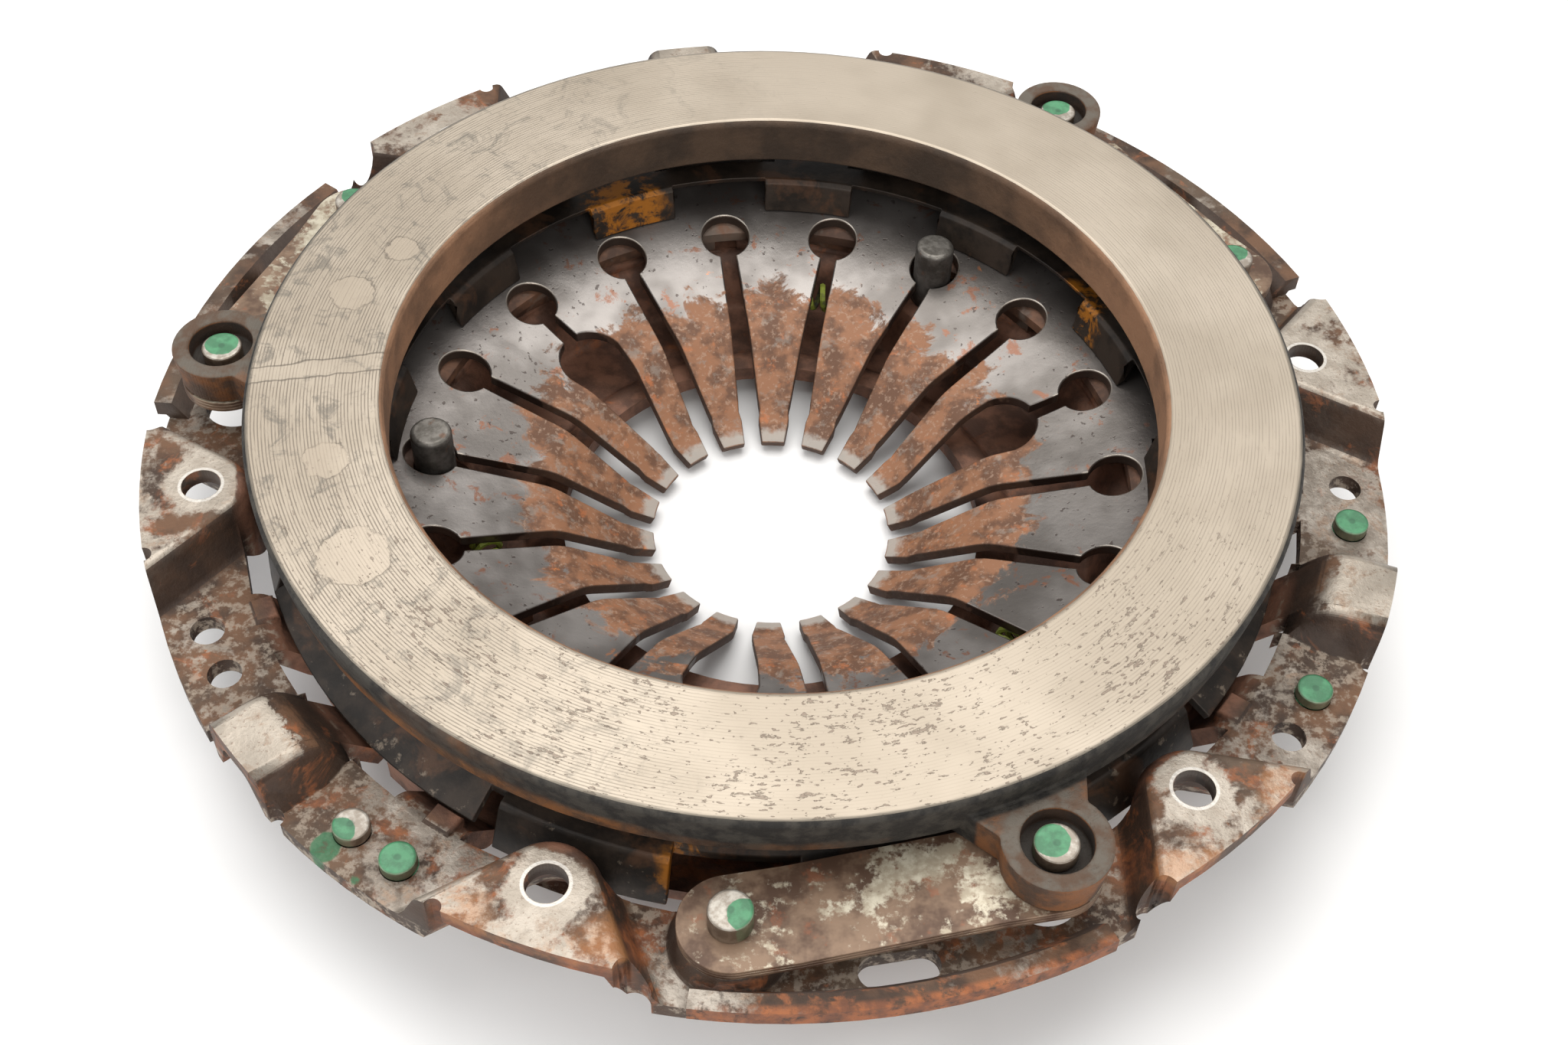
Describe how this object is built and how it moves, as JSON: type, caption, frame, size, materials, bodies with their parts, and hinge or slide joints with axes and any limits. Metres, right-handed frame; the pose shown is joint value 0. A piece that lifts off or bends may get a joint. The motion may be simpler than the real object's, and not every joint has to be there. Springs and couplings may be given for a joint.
{
  "type": "clutch assembly",
  "caption": "Push-type clutch assembly with a cast pressure plate, a fingered diaphragm spring, wear adjustment and a riveted pressed steel cover, shown in its free state.",
  "frame": {"origin": "on the clutch axis, in the plane of the six bolt pads that seat on the flywheel", "axes": "+Z along the clutch axis, towards the flywheel; the release bearing works from the -Z side"},
  "size_m": [0.2805, 0.2805, 0.0578],
  "materials": {
    "cover_steel": "bare pressed steel, stained and rusty",
    "plate_iron": "cast iron with a turned friction face",
    "spring_steel": "blue-grey hardened spring steel",
    "sensor_steel": "dark grey spring steel",
    "adjuster_steel": "pressed steel, brown",
    "rivet_steel": "plain steel rivet",
    "peg_steel": "plain steel peg",
    "coil_steel": "spring wire with paint marks",
    "strap_steel": "spring steel strip, stained"
  },
  "bodies": {
    "cover": {"cover": "cover_steel", "locating_peg_a": "peg_steel", "locating_peg_b": "peg_steel", "locating_peg_c": "peg_steel", "strap_leaf_a1": "strap_steel", "strap_leaf_a2": "strap_steel", "strap_leaf_a3": "strap_steel", "strap_leaf_b1": "strap_steel", "strap_leaf_b2": "strap_steel", "strap_leaf_b3": "strap_steel", "strap_leaf_c1": "strap_steel", "strap_leaf_c2": "strap_steel", "strap_leaf_c3": "strap_steel", "strap_cover_rivets": "rivet_steel", "balance_rivets": "rivet_steel", "sensor_spring": "sensor_steel", "adjuster_spring_a": "coil_steel", "adjuster_spring_b": "coil_steel", "adjuster_spring_c": "coil_steel"},
    "pressure_plate": {"pressure_plate": "plate_iron", "strap_lug_rivets": "rivet_steel"},
    "diaphragm": {"diaphragm_spring": "spring_steel"},
    "adjuster": {"adjuster_ring": "adjuster_steel"}
  },
  "joints": [
    {"name": "plate_slide", "type": "slide", "parent": "cover", "child": "pressure_plate", "axis": [0, 0, 1], "range_m": [-0.0033, 0], "stiffness_N_per_m": 8000, "springref_m": 0.006, "deforming": ["diaphragm_spring", "strap_leaf_a1", "strap_leaf_a2", "strap_leaf_a3", "strap_leaf_b1", "strap_leaf_b2", "strap_leaf_b3", "strap_leaf_c1", "strap_leaf_c2", "strap_leaf_c3"]},
    {"name": "spring_lift", "type": "slide", "parent": "cover", "child": "diaphragm", "axis": [0, 0, 1], "range_m": [0, 0.0025], "stiffness_N_per_m": 3000, "springref_m": -0.004, "deforming": ["diaphragm_spring", "sensor_spring"]},
    {"name": "adjuster_turn", "type": "hinge", "parent": "diaphragm", "child": "adjuster", "pos_m": [0, 0, -0.0211], "axis": [0, 0, 1], "range_deg": [0, 16.3]}
  ],
  "couplings": [
    {"joint": "adjuster_turn", "follows": "spring_lift", "rad_per_m": 113.45}
  ]
}
